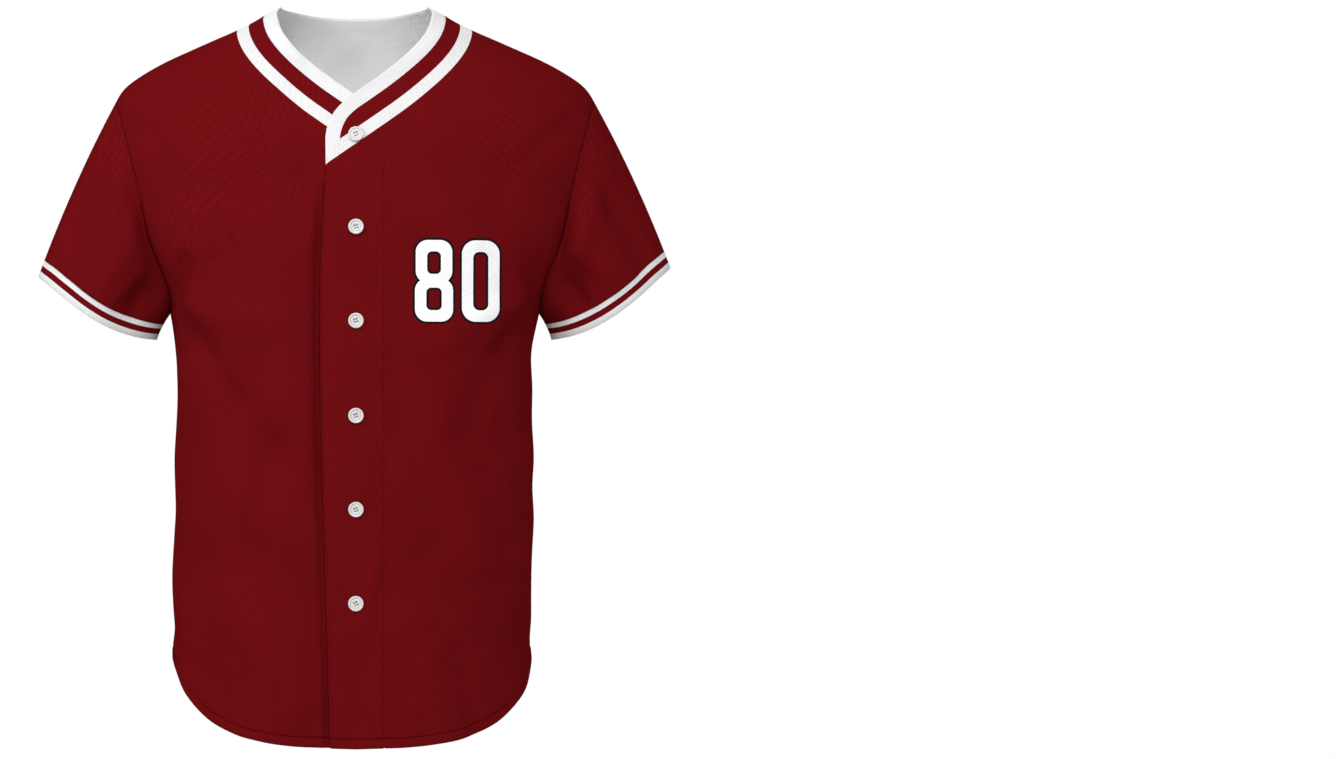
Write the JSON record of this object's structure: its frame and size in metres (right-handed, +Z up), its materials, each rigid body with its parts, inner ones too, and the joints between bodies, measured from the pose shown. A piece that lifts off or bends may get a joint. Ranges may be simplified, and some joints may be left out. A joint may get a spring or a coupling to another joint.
{
  "type": "baseball jersey",
  "caption": "Short-sleeved button-front baseball jersey in its hollow worn form, with a V neckband, a placket, a curved shirt-tail hem and striped neck and sleeve ends",
  "frame": {"origin": "on the centre line, between the two shoulder seams, level with the neck; the shoulders that wear the jersey carry it here", "axes": "+Z up, +X to the wearer's left, the button front faces -Y; metres"},
  "size_m": [0.652, 0.2635, 0.7521],
  "materials": {
    "jersey_knit": "matt dark red polyester knit, printed on the outside, white inside",
    "trim_knit": "matt white polyester knit with a red stripe at the sleeve ends",
    "button_plastic": "glossy pearl white"
  },
  "bodies": {
    "root": {"back": "jersey_knit", "left_front": "jersey_knit", "right_front": "jersey_knit", "placket": "jersey_knit", "left_sleeve": "jersey_knit", "right_sleeve": "jersey_knit", "left_cuff_band": "trim_knit", "right_cuff_band": "trim_knit", "neckband": "trim_knit", "button_1": "button_plastic", "button_2": "button_plastic", "button_3": "button_plastic", "button_4": "button_plastic", "button_5": "button_plastic", "button_6": "button_plastic"}
  },
  "joints": []
}
